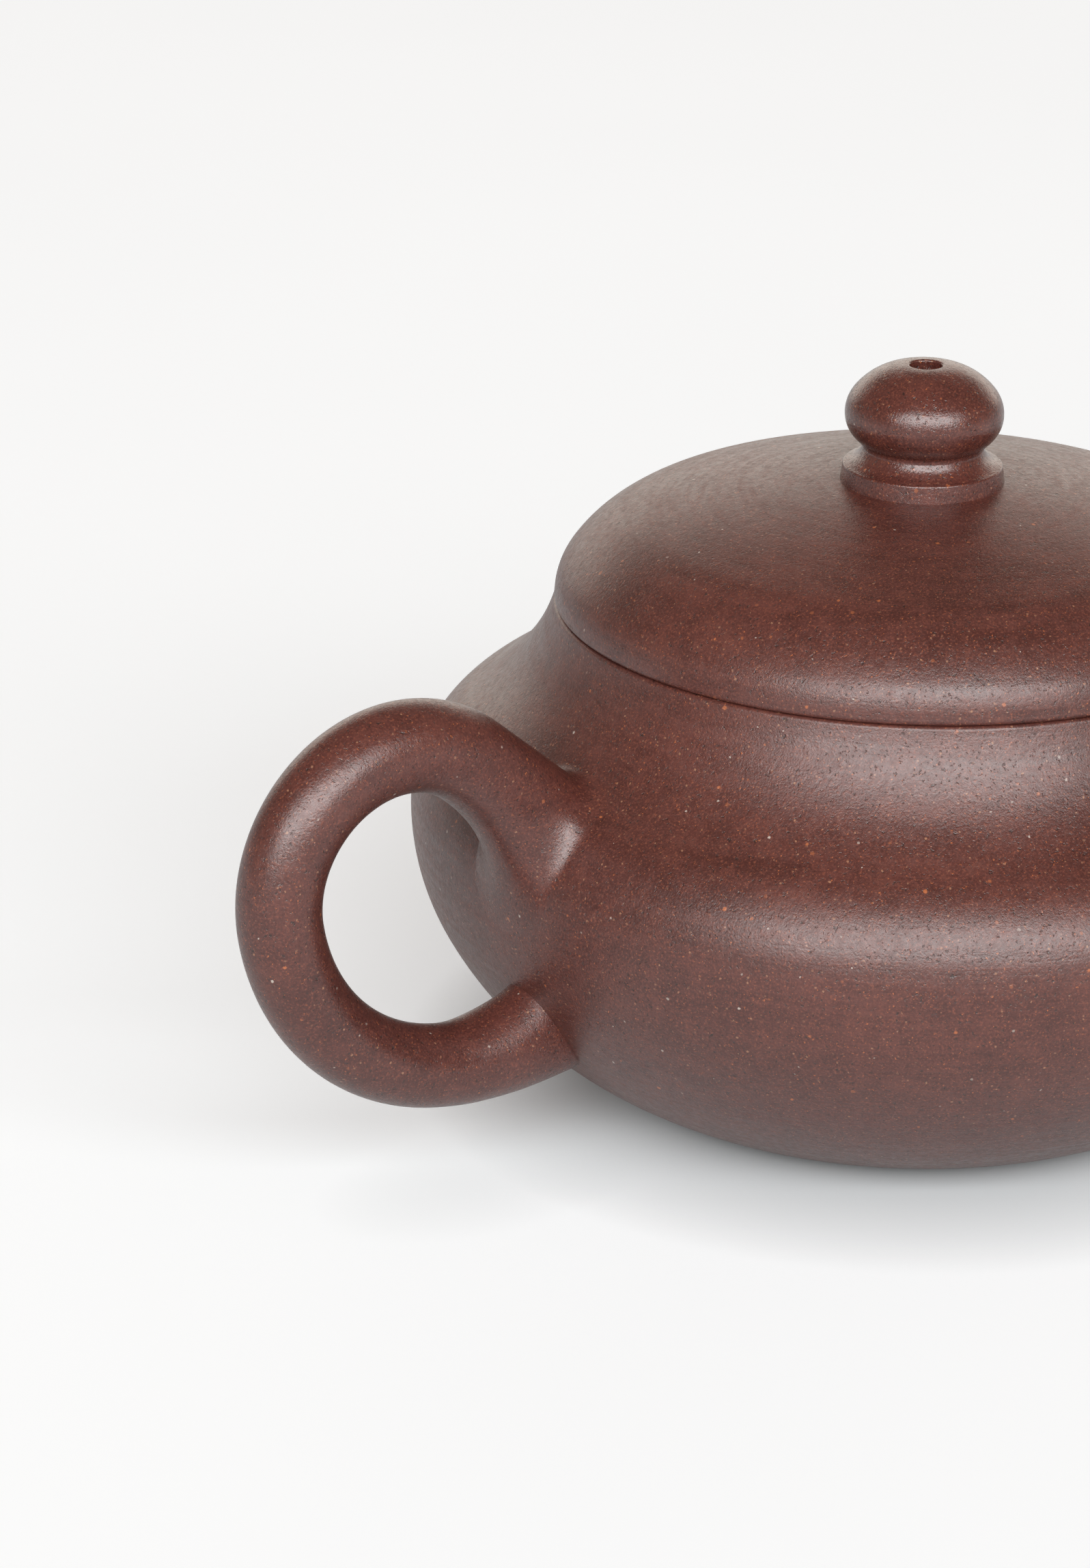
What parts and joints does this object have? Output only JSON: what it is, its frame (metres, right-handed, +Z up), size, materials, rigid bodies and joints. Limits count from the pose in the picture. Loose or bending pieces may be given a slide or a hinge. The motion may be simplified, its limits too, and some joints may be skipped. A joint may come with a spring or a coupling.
{
  "type": "teapot",
  "caption": "Round unglazed clay teapot with a low domed lift-off lid, bead knob with a vent hole, round ear handle and an upturned pouring spout with a strainer at its root.",
  "frame": {"origin": "middle of the flat base, on the table, under the axis of the pot and its lid", "axes": "+Z up along the pot's axis, +X towards the spout, -X towards the handle"},
  "size_m": [0.1469, 0.0922, 0.0673],
  "materials": {
    "clay": "unglazed dark reddish brown clay, burnished to a soft satin, with fine pale and orange specks"
  },
  "bodies": {
    "pot": {"base_disc": "clay", "belly_wall": "clay", "shoulder_wall": "clay", "mouth_ring": "clay", "spout": "clay", "handle": "clay"},
    "lid": {"lid_plate": "clay", "lid_dome": "clay", "lid_flange": "clay", "knob_collar": "clay", "knob": "clay"}
  },
  "joints": [
    {"name": "lid_lift", "type": "slide", "parent": "pot", "child": "lid", "axis": [0, 0, 1], "range_m": [0, 0.04]}
  ]
}
